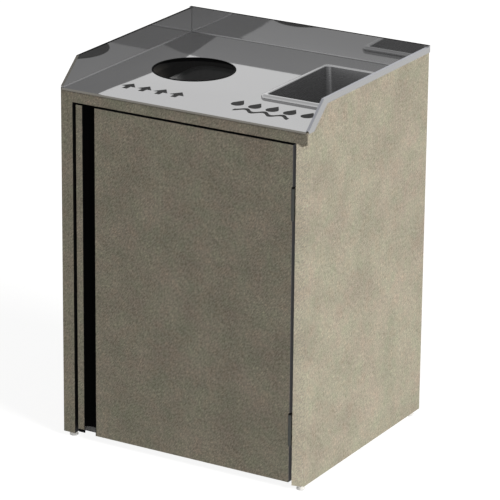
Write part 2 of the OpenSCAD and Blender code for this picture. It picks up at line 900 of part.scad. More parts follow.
// Rubber studs on the stop cleat and on the plinth board, which the closed door lies against
module door_bumpers() {
    length = frame_t - door_t - seat_gap;
    low_z = foot_h + plinth_h / 2;
    high_z = stop_bottom + stop_overlap / 2;
    color("#202022") placed()
        for (x = [stop_left + bumper_left, hinge_face - bumper_right], z = [low_z, high_z])
            translate([x, frame_t, z]) rotate([90, 0, 0]) cylinder(r = bumper_r, h = length);
}

// Levelling feet, each with a round pad, a hexagon for the spanner and a stud in a threaded insert
module foot_inserts() {
    color("#b8b08a") placed() for (x = foot_x, y = foot_y) translate([x, y, foot_h]) difference() {
        union() {
            translate([0, 0, -insert_flange_t]) cylinder(r = insert_flange_r, h = insert_flange_t);
            cylinder(r = insert_r, h = insert_l);
        }
        translate([0, 0, -insert_flange_t - 1]) cylinder(r = stud_r + pin_fit, h = insert_l + 4);
    }
}

module foot(x, y) {
    hexagon_top = foot_h - insert_flange_t - seat_gap;
    translate([x, y, 0]) {
        rotate_extrude() polygon([[0, 0], [foot_r - 1, 0], [foot_r, 1], [foot_r, foot_pad_t - 3],
                                  [foot_r - 3, foot_pad_t], [0, foot_pad_t]]);
        cylinder(r = stud_r + 3, h = hexagon_top, $fn = 6);
        cylinder(r = stud_r, h = foot_h + stud_l);
    }
}

module foot_front_left() {
    color("#d9d7d2") placed() foot(foot_x[0], foot_y[0]);
}

module foot_front_right() {
    color("#d9d7d2") placed() foot(foot_x[1], foot_y[0]);
}

module foot_rear_left() {
    color("#d9d7d2") placed() foot(foot_x[0], foot_y[1]);
}

module foot_rear_right() {
    color("#d9d7d2") placed() foot(foot_x[1], foot_y[1]);
}

side_panel_left();
side_panel_right();
back_panel();
bottom_board();
plinth_board();
top_rail();
stile_left();
stile_right();
foot_block_left();
foot_block_right();
deck_board();
deck_cleat_left();
deck_cleat_right();
stop_cleat();
back_screws();
steel_worktop();
hole_trim();
liquids_pan();
waste_bin();
bin_guide_left();
bin_guide_right();
bin_stop();
door_panel();
door_pull();
pull_lip_strip();
pull_end_trim();
pull_screws();
hinge_frame_leaf_upper();
hinge_frame_leaf_lower();
hinge_door_leaf_upper();
hinge_door_leaf_lower();
hinge_pin_upper();
hinge_pin_lower();
hinge_frame_screws();
hinge_door_screws();
catch_body();
catch_magnet();
catch_screws();
strike_plate();
strike_screws();
door_bumpers();
foot_inserts();
foot_front_left();
foot_front_right();
foot_rear_left();
foot_rear_right();
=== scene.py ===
"""Waste cabinet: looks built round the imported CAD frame. Metres, +Z up, the door faces -Y."""

import bmesh
import bpy
import math
from mathutils import Matrix, Vector


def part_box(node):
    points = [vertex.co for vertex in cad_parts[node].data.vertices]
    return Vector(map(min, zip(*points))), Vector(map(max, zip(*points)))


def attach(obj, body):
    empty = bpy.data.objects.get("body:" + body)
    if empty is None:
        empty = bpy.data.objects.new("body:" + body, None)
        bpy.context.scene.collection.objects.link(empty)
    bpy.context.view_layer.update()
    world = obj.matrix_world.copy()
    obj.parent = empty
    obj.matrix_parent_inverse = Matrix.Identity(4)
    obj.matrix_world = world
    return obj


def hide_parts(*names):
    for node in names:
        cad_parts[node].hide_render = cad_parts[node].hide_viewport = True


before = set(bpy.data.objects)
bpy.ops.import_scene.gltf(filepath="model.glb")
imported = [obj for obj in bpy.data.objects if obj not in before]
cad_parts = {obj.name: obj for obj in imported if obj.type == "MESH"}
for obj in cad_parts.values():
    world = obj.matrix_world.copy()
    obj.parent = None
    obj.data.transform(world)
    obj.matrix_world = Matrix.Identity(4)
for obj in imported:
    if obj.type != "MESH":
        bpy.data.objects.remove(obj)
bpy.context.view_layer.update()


# Camera
# Not a piece. It stands where the fit to the photograph's straight edges puts it, in front of the
# cabinet, to its right and above it, with a long lens.
camera_place = Vector((3.9991, -6.7908, 3.2271))
camera_yaw, camera_pitch, camera_roll = (math.radians(a) for a in (30.389, -19.276, 0.573))
camera_focal_px = 3346.75
photo_px = 500
sensor_mm = 36
ahead = Vector((-math.sin(camera_yaw) * math.cos(camera_pitch),
                math.cos(camera_yaw) * math.cos(camera_pitch), math.sin(camera_pitch)))
level_right = Vector((math.cos(camera_yaw), math.sin(camera_yaw), 0))
level_up = level_right.cross(ahead)
camera_right = math.cos(camera_roll) * level_right + math.sin(camera_roll) * level_up
camera_up = camera_right.cross(ahead)
camera_data = bpy.data.cameras.new("camera")
camera_data.sensor_width = sensor_mm
camera_data.lens = camera_focal_px * sensor_mm / photo_px
camera_data.clip_end = 100
camera = bpy.data.objects.new("camera", camera_data)
camera.matrix_world = Matrix.Translation(camera_place) @ Matrix(
    (camera_right, camera_up, -ahead)).transposed().to_4x4()
bpy.context.scene.collection.objects.link(camera)
bpy.context.scene.camera = camera
bpy.context.scene.view_settings.view_transform = "Standard"


# Side panels, back panel, top rail and stiles
# Boards of the carcass, faced with a matt high-pressure laminate that has a fine woven mottle in
# taupe. They are glued and screwed, and their front edges lie in one plane.
def new_material(name, roughness, metallic=0.0, specular=0.5):
    """A node material with its plain values on the shader's own sockets."""
    material = bpy.data.materials.new(name)
    material.use_nodes = True
    shader = material.node_tree.nodes["Principled BSDF"]
    shader.inputs["Roughness"].default_value = roughness
    shader.inputs["Metallic"].default_value = metallic
    shader.inputs["Specular IOR Level"].default_value = specular
    return material, material.node_tree, shader


def add_node(tree, kind, inputs=(), **settings):
    """A node with its settings and its sockets filled: a value is set and a socket is linked."""
    node = tree.nodes.new(kind)
    for key, value in settings.items():
        setattr(node, key, value)
    for key, value in dict(inputs).items():
        if isinstance(value, bpy.types.NodeSocket):
            tree.links.new(value, node.inputs[key])
        else:
            node.inputs[key].default_value = value
    return node


def place_on_object(tree, scale=(1, 1, 1)):
    """Object coordinates in metres, stretched for one pattern."""
    place = add_node(tree, "ShaderNodeTexCoord")
    mapping = add_node(tree, "ShaderNodeMapping", {"Vector": place.outputs["Object"], "Scale": scale})
    return mapping.outputs["Vector"]


def noise(tree, vector, scale, detail=2.0, roughness=0.5):
    """Noise from 0 to 1 at a number of cells per metre."""
    node = add_node(tree, "ShaderNodeTexNoise", {
        "Vector": vector, "Scale": scale, "Detail": detail, "Roughness": roughness})
    return node.outputs["Fac"]


def ramp(tree, value, stops):
    """Colours along a value, as (place, colour) pairs."""
    node = add_node(tree, "ShaderNodeValToRGB", {"Fac": value})
    while len(node.color_ramp.elements) < len(stops):
        node.color_ramp.elements.new(0.5)
    for element, (place, colour) in zip(node.color_ramp.elements, stops):
        element.position = place
        element.color = (*colour, 1)
    return node.outputs["Color"]


def mixed(tree, kind, factor, first, second):
    """Two colours mixed or multiplied by a factor."""
    node = add_node(tree, "ShaderNodeMix", data_type="RGBA", blend_type=kind)
    for index, value in ((0, factor), (6, first), (7, second)):
        if isinstance(value, bpy.types.NodeSocket):
            tree.links.new(value, node.inputs[index])
        elif index:
            node.inputs[index].default_value = (*value, 1)
        else:
            node.inputs[index].default_value = value
    return node.outputs[2]


def bumped(tree, shader, height, strength, distance):
    """Relief on a shader from a height between 0 and 1."""
    bump = add_node(tree, "ShaderNodeBump", {
        "Height": height, "Strength": strength, "Distance": distance})
    tree.links.new(bump.outputs["Normal"], shader.inputs["Normal"])


def add_glow(material, strength):
    """A faint even glow, for the light that the room would bring into shade."""
    shader = material.node_tree.nodes["Principled BSDF"]
    shader.inputs["Emission Color"].default_value = (1, 1, 1, 1)
    shader.inputs["Emission Strength"].default_value = strength


def lightened(tone, lightness):
    """A colour made lighter or darker as a whole."""
    return tuple(lightness * part for part in tone)


taupe_low, taupe_high = (0.436, 0.398, 0.318), (0.544, 0.497, 0.397)
thread_slant, thread_size = math.radians(52), (0.009, 0.0027, 1)


def laminate_finish(name, lightness=1.0, pattern=1.0):
    """Taupe laminate: broad cloudy tone, faint tinted patches, specks and short slanting threads."""
    material, tree, shader = new_material(name, 0.62, specular=0.25)
    flat = place_on_object(tree)
    parts = add_node(tree, "ShaderNodeSeparateXYZ", {0: flat})
    across = add_node(tree, "ShaderNodeMath", {0: parts.outputs["X"], 1: parts.outputs["Y"]},
                      operation="ADD")
    sheet = add_node(tree, "ShaderNodeCombineXYZ", {"X": across.outputs[0], "Y": parts.outputs["Z"]})
    slant = add_node(tree, "ShaderNodeMapping", {
        "Vector": sheet.outputs[0], "Rotation": (0, 0, thread_slant), "Scale": thread_size},
        vector_type="TEXTURE").outputs["Vector"]
    weave = noise(tree, slant, 1, 1.5, 0.5)
    cloud = ramp(tree, noise(tree, flat, 10, 4, 0.6),
                 [(0.35, lightened(taupe_low, lightness)), (0.65, lightened(taupe_high, lightness))])
    tint = ramp(tree, noise(tree, flat, 42, 1.5, 0.5),
                [(0.34, (0.977, 1.010, 0.975)), (0.5, (1, 1, 1)), (0.66, (1.023, 0.990, 0.975))])
    threads = ramp(tree, weave, [(0.3, (0.72, 0.72, 0.71)), (0.7, (1.26, 1.26, 1.27))])
    specks = ramp(tree, noise(tree, flat, 420, 2, 0.7),
                  [(0.3, (0.65, 0.65, 0.65)), (0.7, (1.33, 1.33, 1.33))])
    broad_tint = ramp(tree, noise(tree, flat, 13, 1.5, 0.5),
                      [(0.34, (0.976, 1.009, 0.976)), (0.66, (1.026, 0.990, 0.992))])
    tone = cloud
    for layer in (tint, broad_tint, threads, specks):
        tone = mixed(tree, "MULTIPLY", pattern, tone, layer)
    tree.links.new(tone, shader.inputs["Base Color"])
    bumped(tree, shader, weave, 0.2, 0.0002)
    return material


def board_finish():
    """Dark melamine: a close speckle and faint long streaks."""
    material, tree, shader = new_material("dark_melamine_with_painted_glow", 0.5, specular=0.35)
    flat = place_on_object(tree)
    streak = place_on_object(tree, scale=(4, 60, 60))
    speckle = noise(tree, flat, 420, 3, 0.7)
    tone = ramp(tree, speckle, [(0.3, (0.030, 0.028, 0.025)), (0.75, (0.058, 0.054, 0.048))])
    long = ramp(tree, noise(tree, streak, 1, 3, 0.6), [(0.3, (0.8, 0.8, 0.8)), (0.7, (1.2, 1.2, 1.2))])
    tree.links.new(mixed(tree, "MULTIPLY", 0.7, tone, long), shader.inputs["Base Color"])
    bumped(tree, shader, speckle, 0.15, 0.0002)
    return material


def moulded_finish(name, dark, light, roughness, grain=900, relief=0.2, specular=0.4):
    """Moulded plastic or rubber: an even colour with a fine grain and a faint cloudiness."""
    material, tree, shader = new_material(name, roughness, specular=specular)
    flat = place_on_object(tree)
    cloud = noise(tree, flat, 30, 2, 0.5)
    fine = noise(tree, flat, grain, 2, 0.6)
    tone = mixed(tree, "MIX", cloud, dark, light)
    grained = mixed(tree, "MULTIPLY", 0.25, tone, ramp(
        tree, fine, [(0.3, (0.8, 0.8, 0.8)), (0.7, (1.15, 1.15, 1.15))]))
    tree.links.new(grained, shader.inputs["Base Color"])
    bumped(tree, shader, fine, relief, 0.0002)
    return material


merge_gap, sharp_angle, eased_angle = 2e-6, math.radians(30), math.radians(40)


def finished_copy(node, body, material, edge=0.0, others=()):
    """The CAD node's own shape with its facets joined, its edges eased and a finish on it.

    The others are pairs of a finish and a test on a face's normal and middle, for faces that look
    different. A later pair wins.
    """
    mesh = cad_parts[node].data.copy()
    shape = bmesh.new()
    shape.from_mesh(mesh)
    bmesh.ops.remove_doubles(shape, verts=shape.verts, dist=merge_gap)
    if edge:
        bmesh.ops.dissolve_limit(shape, angle_limit=math.radians(1), verts=shape.verts,
                                 edges=shape.edges)
    shape.to_mesh(mesh)
    shape.free()
    if "custom_normal" in mesh.attributes:
        mesh.attributes.remove(mesh.attributes["custom_normal"])
    mesh.materials.clear()
    mesh.materials.append(material)
    for face in mesh.polygons:
        face.use_smooth = True
        face.material_index = 0
    for index, (other, belongs) in enumerate(others):
        mesh.materials.append(other)
        for face in mesh.polygons:
            if belongs(face.normal, face.center):
                face.material_index = index + 1
    mesh.set_sharp_from_angle(angle=sharp_angle)
    piece = bpy.data.objects.new(node + "_finished", mesh)
    bpy.context.scene.collection.objects.link(piece)
    if edge:
        ease = piece.modifiers.new("eased_edges", "BEVEL")
        ease.width = edge
        ease.segments = 2
        ease.limit_method = "ANGLE"
        ease.angle_limit = eased_angle
        ease.harden_normals = True
    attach(piece, body)
    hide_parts(node)
    return piece


laminate = laminate_finish("woven_laminate")
# A copy of the laminate 1.8 times lighter, on the bevel of the right front corner: painted light, so
# that the bevel looks as bright as the lit side
painted_light_laminate = laminate_finish("corner_laminate_painted_light", 1.8, 0.65)
melamine = board_finish()
# The dark melamine glows faintly: painted light inside the carcass
add_glow(melamine, 0.007)
# Black on board edges. On the edges that face into the gaps beside the door and the pull, the black is
# also painted shade
black_band_and_gap_shade = moulded_finish("black_edge_band_and_gap_shade", (0.004, 0.004, 0.004), (0.007, 0.007, 0.007), 0.7)
laminate_edge, board_edge = 0.0006, 0.0004
# How much of its normal a face has along an axis: more than level if it lies square to the axis, more
# than upward if it looks up, and between lean and level if it is the bevel of the right front corner
level, upward, lean = 0.9, 0.5, 0.2
board_faces = {
    # node: pairs of a finish and a test on the face's normal and middle
    "side_panel_left": [(melamine, lambda n, c: n.x > level), (black_band_and_gap_shade, lambda n, c: n.z > upward)],
    "side_panel_right": [(melamine, lambda n, c: n.x < -level), (black_band_and_gap_shade, lambda n, c: n.z > upward),
                         (painted_light_laminate, lambda n, c: lean < n.x < level)],
    "back_panel": [(melamine, lambda n, c: n.y < -level)],
    "top_rail": [(black_band_and_gap_shade, lambda n, c: n.z < -level), (melamine, lambda n, c: n.y > level)],
    "stile_left": [(black_band_and_gap_shade, lambda n, c: n.x > level), (melamine, lambda n, c: n.y > level)],
    "stile_right": [(black_band_and_gap_shade, lambda n, c: n.x < -level),
                    (painted_light_laminate, lambda n, c: lean < n.x < level)],
}
for node, others in board_faces.items():
    finished_copy(node, "cabinet", laminate, laminate_edge, others)


# Bottom board, plinth, deck board, cleats and blocks
# The inside of the carcass, in dark melamine-faced board. The bottom board and the plinth close it
# below, the cleats and the deck board carry the steel, the blocks back up the rear feet, and the
# guides and the stop keep the bin in its place.
for inner in ("bottom_board", "plinth_board", "deck_cleat_left", "deck_cleat_right", "stop_cleat",
              "foot_block_left", "foot_block_right", "bin_guide_left", "bin_guide_right", "bin_stop"):
    finished_copy(inner, "cabinet", melamine, board_edge)
finished_copy("deck_board", "cabinet", melamine, board_edge,
              [(black_band_and_gap_shade, lambda n, c: abs(n.z) < level)])


# Levelling feet and their threaded inserts
# Moulded pale feet. Each has a pad, a hexagon for the spanner and a stud, which turns in a brass
# insert that is pressed into the carcass from below.
def metal_finish(name, dark, light, roughness, brush=(60, 60, 60), relief=0.05):
    """Plain metal: a slight change of tone and of gloss along the way that it was worked."""
    material, tree, shader = new_material(name, roughness, metallic=1.0)
    along = place_on_object(tree, scale=brush)
    worked = noise(tree, along, 1, 3, 0.6)
    tree.links.new(mixed(tree, "MIX", worked, dark, light), shader.inputs["Base Color"])
    gloss = add_node(tree, "ShaderNodeMapRange", {
        "Value": worked, "To Min": roughness * 0.75, "To Max": roughness * 1.3})
    tree.links.new(gloss.outputs["Result"], shader.inputs["Roughness"])
    bumped(tree, shader, worked, relief, 0.0001)
    return material


foot_plastic_painted_glow = moulded_finish("pale_foot_plastic_with_painted_glow", (0.80, 0.79, 0.77), (0.88, 0.87, 0.85), 0.5)
# The feet glow: painted light, so that they look as pale in the shade under the cabinet as in the light
add_glow(foot_plastic_painted_glow, 0.22)
insert_brass = metal_finish("turned_brass", (0.50, 0.39, 0.17), (0.62, 0.50, 0.25), 0.3,
                            (80, 80, 900))
for foot in ("foot_front_left", "foot_front_right", "foot_rear_left", "foot_rear_right"):
    finished_copy(foot, foot, foot_plastic_painted_glow)
finished_copy("foot_inserts", "cabinet", insert_brass)


# Steel worktop
# One sheet of bright stainless steel, folded up at the sides and the back, hooked over the panels
# and welded in its rear corners. It is nearly a mirror, and duller on its folds. Its front lip and its
# left and back splashes are darker copies of the steel, painted shade, and the splashes glow faintly,
# painted light. The tops of the left and back splashes are nearly black, painted dark reflection, and
# the top of the right splash is lighter and bluish, painted reflection.
soft_angle, point_gap = math.radians(35), 1e-6


def finished_shape(name, shape, material, body, nodes=()):
    """A mesh piece from a bmesh, with outward faces and soft shading, riding on a body."""
    bmesh.ops.remove_doubles(shape, verts=shape.verts, dist=point_gap)
    bmesh.ops.recalc_face_normals(shape, faces=shape.faces)
    mesh = bpy.data.meshes.new(name)
    shape.to_mesh(mesh)
    shape.free()
    mesh.materials.append(material)
    for face in mesh.polygons:
        face.use_smooth = True
    mesh.set_sharp_from_angle(angle=soft_angle)
    piece = bpy.data.objects.new(name, mesh)
    bpy.context.scene.collection.objects.link(piece)
    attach(piece, body)
    if nodes:
        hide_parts(*nodes)
    return piece


mirror_low, mirror_high = (0.390, 0.390, 0.394), (0.412, 0.412, 0.415)


def bright_steel_finish(name, lightness):
    """Nearly mirror-bright stainless steel with hair-fine lines along the cabinet's width."""
    material, tree, shader = new_material(name, 0.1, metallic=0.94)
    lines = place_on_object(tree, scale=(3, 900, 900))
    brushed = noise(tree, lines, 1, 2, 0.6)
    cloud = noise(tree, place_on_object(tree), 6, 2, 0.5)
    tone = mixed(tree, "MIX", cloud, lightened(mirror_low, lightness),
                 lightened(mirror_high, lightness))
    tree.links.new(tone, shader.inputs["Base Color"])
    gloss = add_node(tree, "ShaderNodeMapRange", {
        "Value": brushed, "To Min": 0.02, "To Max": 0.06})
    tree.links.new(gloss.outputs["Result"], shader.inputs["Roughness"])
    return material


bright_steel = bright_steel_finish("bright_stainless", 0.965)
# Darker copies of the steel for the left and back splashes, with a faint glow: painted shade and
# painted light
left_splash_painted_shade = bright_steel_finish("stainless_left_painted_shade_and_glow", 0.80)
back_splash_painted_shade = bright_steel_finish("stainless_back_painted_shade_and_glow", 0.95)
for splash_painted_glow in (left_splash_painted_shade, back_splash_painted_shade):
    add_glow(splash_painted_glow, 0.025)
fold_relief = 0.02
# A dark, warm copy of the steel for the front lip and the sloping faces at the top of the left splash:
# painted shade, as dark as the laminate below
lip_painted_shade = metal_finish("front_lip_steel_painted_shade", (0.19, 0.18, 0.16), (0.22, 0.21, 0.19), 0.4,
                         relief=fold_relief)
# Nearly black steel on the tops of the left and back splashes: painted dark reflection
fold_painted_dark_reflection = metal_finish("fold_steel_painted_dark_reflection", (0.065, 0.065, 0.065), (0.080, 0.080, 0.080), 0.4,
                         relief=fold_relief)
fold_painted_dark_reflection.node_tree.nodes["Principled BSDF"].inputs["Specular Tint"].default_value = (
    0.05, 0.05, 0.05, 1)
dull_fold = metal_finish("dull_fold_steel", (0.37, 0.37, 0.375), (0.40, 0.40, 0.405), 0.34,
                         relief=fold_relief)
# A lighter, bluish copy of the steel on the top of the right splash: painted reflection
fold_painted_reflection = metal_finish("right_fold_steel_painted_reflection", (0.405, 0.412, 0.446), (0.504, 0.511, 0.549), 0.4,
                           (700, 4, 420), fold_relief)
sheet_low, sheet_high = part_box("steel_worktop")
splash_height, splash_wall, fold_size, skin, sheet_edge = 0.066, 0.0083, 0.0035, 0.001, 0.0005
deck_top = sheet_high.z - splash_height
above_folds = deck_top + 2 * fold_size
left_splash, right_splash = sheet_low.x + splash_wall, sheet_high.x - splash_wall
back_splash = sheet_high.y - splash_wall
# A face of a fold has a normal that rises a little, and the deck's rises fully. The right splash's
# fold has the painted reflection, apart from its faces that look sideways
rising, flat_top, sideways = 0.04, 0.995, 0.5
finished_copy("steel_worktop", "cabinet", bright_steel, sheet_edge, [
    (left_splash_painted_shade, lambda n, c: n.x > level and c.x < left_splash),
    (back_splash_painted_shade, lambda n, c: n.y < -level and c.y > back_splash - splash_wall),
    (lip_painted_shade, lambda n, c: n.y < -level and c.y < sheet_low.y + skin),
    (dull_fold, lambda n, c: rising < n.z < flat_top),
    (fold_painted_dark_reflection, lambda n, c: n.z > rising and c.z > above_folds and (
        c.x < left_splash or c.y > back_splash)),
    (lip_painted_shade, lambda n, c: rising < n.z < level and c.z > above_folds and c.x < left_splash),
    (fold_painted_reflection, lambda n, c: n.z > rising and c.x > right_splash and n.x < sideways)])

weld_steel = metal_finish("ground_weld_steel", (0.09, 0.09, 0.09), (0.13, 0.13, 0.13), 0.4,
                          relief=fold_relief)
weld_radius, weld_inset, weld_drop, weld_sides = 0.0010, 0.0071, 0.0045, 12
weld_top = sheet_high.z - weld_drop
for side, weld_name in ((-1, "corner_weld_left"), (1, "corner_weld_right")):
    shape = bmesh.new()
    made = bmesh.ops.create_cone(shape, cap_ends=True, segments=weld_sides, radius1=weld_radius,
                                 radius2=weld_radius, depth=weld_top - deck_top)
    bmesh.ops.translate(shape, verts=made["verts"], vec=(
        side * (sheet_high.x - weld_inset), sheet_high.y - weld_inset, (weld_top + deck_top) / 2))
    weld = finished_shape(weld_name, shape, weld_steel, "cabinet")
    weld.visible_glossy = False


# Edge trim of the drop hole
# A black plastic channel pushed over the steel's edge all the way round. A rounded section is swept
# along a circle of the hole's size.
def tree_with(name, floats=(), vectors=()):
    """An empty Geometry Nodes tree with named inputs, a material among them."""
    tree = bpy.data.node_groups.new(name, "GeometryNodeTree")
    tree.interface.new_socket("Geometry", in_out="INPUT", socket_type="NodeSocketGeometry")
    for label in floats:
        tree.interface.new_socket(label, in_out="INPUT", socket_type="NodeSocketFloat")
    for label in vectors:
        tree.interface.new_socket(label, in_out="INPUT", socket_type="NodeSocketVector")
    tree.interface.new_socket("Finish", in_out="INPUT", socket_type="NodeSocketMaterial")
    tree.interface.new_socket("Geometry", in_out="OUTPUT", socket_type="NodeSocketGeometry")
    return tree, tree.nodes.new("NodeGroupInput").outputs


def end_tree(tree, geometry, finish):
    """Realize Instances, Set Material and the output."""
    realized = add_node(tree, "GeometryNodeRealizeInstances", {"Geometry": geometry})
    finished = add_node(tree, "GeometryNodeSetMaterial", {
        "Geometry": realized.outputs["Geometry"], "Material": finish})
    add_node(tree, "NodeGroupOutput", {"Geometry": finished.outputs["Geometry"]})


def grown(name, points, tree, values, finish, body, nodes):
    """A plain mesh made by a tree from seed points, riding on a body in place of CAD nodes."""
    seed = bpy.data.meshes.new(name + "_seed")
    seed.from_pydata([tuple(p) for p in points], [], [])
    source = bpy.data.objects.new(name + "_source", seed)
    bpy.context.scene.collection.objects.link(source)
    modifier = source.modifiers.new("grow", "NODES")
    modifier.node_group = tree
    for item in tree.interface.items_tree:
        if item.in_out == "INPUT" and item.name in values:
            modifier[item.identifier] = values[item.name]
        elif item.in_out == "INPUT" and item.name == "Finish":
            modifier[item.identifier] = finish
    evaluated = source.evaluated_get(bpy.context.evaluated_depsgraph_get())
    mesh = bpy.data.meshes.new_from_object(evaluated)
    bpy.data.objects.remove(source)
    for face in mesh.polygons:
        face.use_smooth = True
    mesh.set_sharp_from_angle(angle=soft_angle)
    piece = bpy.data.objects.new(name, mesh)
    bpy.context.scene.collection.objects.link(piece)
    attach(piece, body)
    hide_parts(*nodes)
    return piece


trim_tree, given = tree_with("edge_trim_ring", (
    "Ring radius", "Section width", "Section height", "Rounding"))
circle = add_node(trim_tree, "GeometryNodeCurvePrimitiveCircle", {
    "Resolution": 128, "Radius": given["Ring radius"]})
section = add_node(trim_tree, "GeometryNodeCurvePrimitiveQuadrilateral", {
    "Width": given["Section width"], "Height": given["Section height"]})
rounded = add_node(trim_tree, "GeometryNodeFilletCurve", {
    "Curve": section.outputs["Curve"], "Radius": given["Rounding"], "Count": 4,
    "Limit Radius": True}, mode="POLY")
ring = add_node(trim_tree, "GeometryNodeCurveToMesh", {
    "Curve": circle.outputs["Curve"], "Profile Curve": rounded.outputs["Curve"]})
on_seed = add_node(trim_tree, "GeometryNodeInstanceOnPoints", {
    "Points": given["Geometry"], "Instance": ring.outputs["Mesh"]})
end_tree(trim_tree, on_seed.outputs["Instances"], given["Finish"])
# Black plastic, which also paints the shade on the hole's turned-down edge
trim_black_and_painted_shade = moulded_finish("black_edge_plastic_and_painted_shade", (0.002, 0.002, 0.002), (0.004, 0.004, 0.004), 0.6,
                               specular=0.04)
trim_low, trim_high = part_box("hole_trim")
trim_middle = (trim_low + trim_high) / 2
trim_section, trim_rounding, trim_play = 0.0042, 0.0009, 0.0001
grown("hole_edge_trim", [trim_middle], trim_tree, {
    "Ring radius": (trim_high.x - trim_low.x - trim_section) / 2 - trim_play,
    "Section width": trim_section, "Section height": trim_high.z - trim_low.z,
    "Rounding": trim_rounding}, trim_black_and_painted_shade, "cabinet", ["hole_trim"])


# Marks on the worktop
# Flat dark prints that say what goes where: arrows towards the drop hole, and drops over water in
# front of the pan. They are plain signs, a tenth of a millimetre thick.
def side_by_side(outline, shifts):
    """Copies of an outline, each moved along the cabinet's width."""
    return [[(x + shift, y) for x, y in outline] for shift in shifts]


def printed_mark(name, outlines, place):
    """Thin flat shapes on the deck, from outlines in millimetres round a place in metres."""
    shape = bmesh.new()
    for outline in outlines:
        face = shape.faces.new([shape.verts.new(Vector((x / 1000, y / 1000, 0)) + place)
                                for x, y in outline])
        risen = bmesh.ops.extrude_face_region(shape, geom=[face])
        moved = [v for v in risen["geom"] if isinstance(v, bmesh.types.BMVert)]
        bmesh.ops.translate(shape, verts=moved, vec=(0, 0, print_height))
    bmesh.ops.recalc_face_normals(shape, faces=shape.faces)
    bmesh.ops.triangulate(shape, faces=shape.faces)
    mesh = bpy.data.meshes.new(name)
    shape.to_mesh(mesh)
    shape.free()
    mesh.materials.append(mark_ink)
    piece = bpy.data.objects.new(name, mesh)
    bpy.context.scene.collection.objects.link(piece)
    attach(piece, "cabinet")
    return piece


mark_ink = moulded_finish("printed_ink", (0.010, 0.010, 0.010), (0.016, 0.016, 0.016), 0.7)
pan_low, pan_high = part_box("liquids_pan")
rim_height, ink_gap, print_height = 0.0085, 0.00005, 0.0001
ink_level = pan_high.z - rim_height + ink_gap

arrow = [(-7, -22), (7, -22), (7, -4), (20, -4), (0, 23), (-20, -4), (-7, -4)]
arrows_right, arrows_ahead = 0.0115, 0.208
arrows_at = Vector((trim_middle.x + arrows_right, trim_middle.y - arrows_ahead, ink_level))
printed_mark("waste_arrow_marks", side_by_side(arrow, (-69, -23, 23, 69)), arrows_at)

drop_radius, drop_sink, drop_tip, drop_steps = 16, 7, 24, 24
drop_start, drop_sweep = -208, 236
drop = []
for step in range(drop_steps + 1):
    angle = math.radians(drop_start + drop_sweep * step / drop_steps)
    drop.append((drop_radius * math.cos(angle), drop_radius * math.sin(angle) - drop_sink))
drop.append((0, drop_tip))
drops_right, drops_ahead = 0.0785, 0.065
drops_at = Vector((pan_low.x + drops_right, pan_low.y - drops_ahead, ink_level))
printed_mark("liquids_drop_marks", side_by_side(drop, (-96, -48, 0, 48, 96)), drops_at)

wave_length, wave_rise, wave_width, wave_reach, wave_step = 50, 9, 14, 75, 3
wave_from_drops = Vector((-0.006, -0.043, 0))
crest = [(x, wave_rise * math.cos(2 * math.pi * x / wave_length))
         for x in range(-wave_reach, wave_reach + 1, wave_step)]
wave = [(x, y - wave_width / 2) for x, y in crest]
wave += [(x, y + wave_width / 2) for x, y in reversed(crest)]
printed_mark("liquids_wave_mark", [wave], drops_at + wave_from_drops)


# Liquids pan
# A deep-drawn pan of thin satin steel with a flat flange and a rolled rim, which hangs in the
# worktop's cut-out by its rim. Its corners and its bottom edge are rounded. The rim band is a lighter
# copy of the steel, painted highlight. Its inside is a darker copy with a faint glow, painted shade and
# painted light, and the inside of the front wall glows more, painted light.
corner_steps = 14


def rounded_loop(half_w, half_l, corner, height, centre):
    """Points round a rectangle with rounded corners, anticlockwise from above."""
    points = []
    for quarter, (sx, sy) in enumerate(((1, 1), (-1, 1), (-1, -1), (1, -1))):
        for step in range(corner_steps + 1):
            angle = math.radians(90 * (quarter + step / corner_steps))
            points.append(Vector((
                centre.x + sx * (half_w - corner) + corner * math.cos(angle),
                centre.y + sy * (half_l - corner) + corner * math.sin(angle), height)))
    return points


def swept_walls(shape, profile, half_w, half_l, corner, centre, smallest=0.001):
    """Faces through loops that follow a profile of (inset, height, corner radius or None)."""
    loops = []
    for inset, height, own_corner in profile:
        radius = max(corner - inset, smallest) if own_corner is None else own_corner
        loop = rounded_loop(half_w - inset, half_l - inset, radius, height, centre)
        loops.append([shape.verts.new(p) for p in loop])
    count = len(loops[0])
    for lower, upper in zip(loops, loops[1:]):
        for i in range(count):
            j = (i + 1) % count
            shape.faces.new((lower[i], lower[j], upper[j], upper[i]))
    return loops


def bend(centre_inset, centre_height, radius, start, end, steps=6, corner=None):
    """Part of a profile round a bend, with angles in degrees from the outward direction."""
    points = []
    for step in range(steps + 1):
        angle = math.radians(start + (end - start) * step / steps)
        points.append((centre_inset - radius * math.cos(angle),
                       centre_height + radius * math.sin(angle), corner))
    return points


pan_steel = metal_finish("satin_pan_steel", (0.36, 0.36, 0.365), (0.39, 0.39, 0.395), 0.48,
                         (14, 14, 500), 0.04)
# A darker copy of the steel with a faint glow for the pan's inside: painted shade and painted light
inner_pan_painted_shade = metal_finish("inner_pan_steel_painted_shade_and_glow", (0.23, 0.23, 0.235), (0.26, 0.26, 0.265), 0.26,
                           (14, 14, 500), 0.02)
add_glow(inner_pan_painted_shade, 0.021)
# The inside of the front wall glows more: painted light
front_wall_painted_light = metal_finish("front_wall_pan_steel_painted_light", (0.25, 0.25, 0.255), (0.28, 0.28, 0.285), 0.26,
                                (14, 14, 500), 0.02)
add_glow(front_wall_painted_light, 0.16)
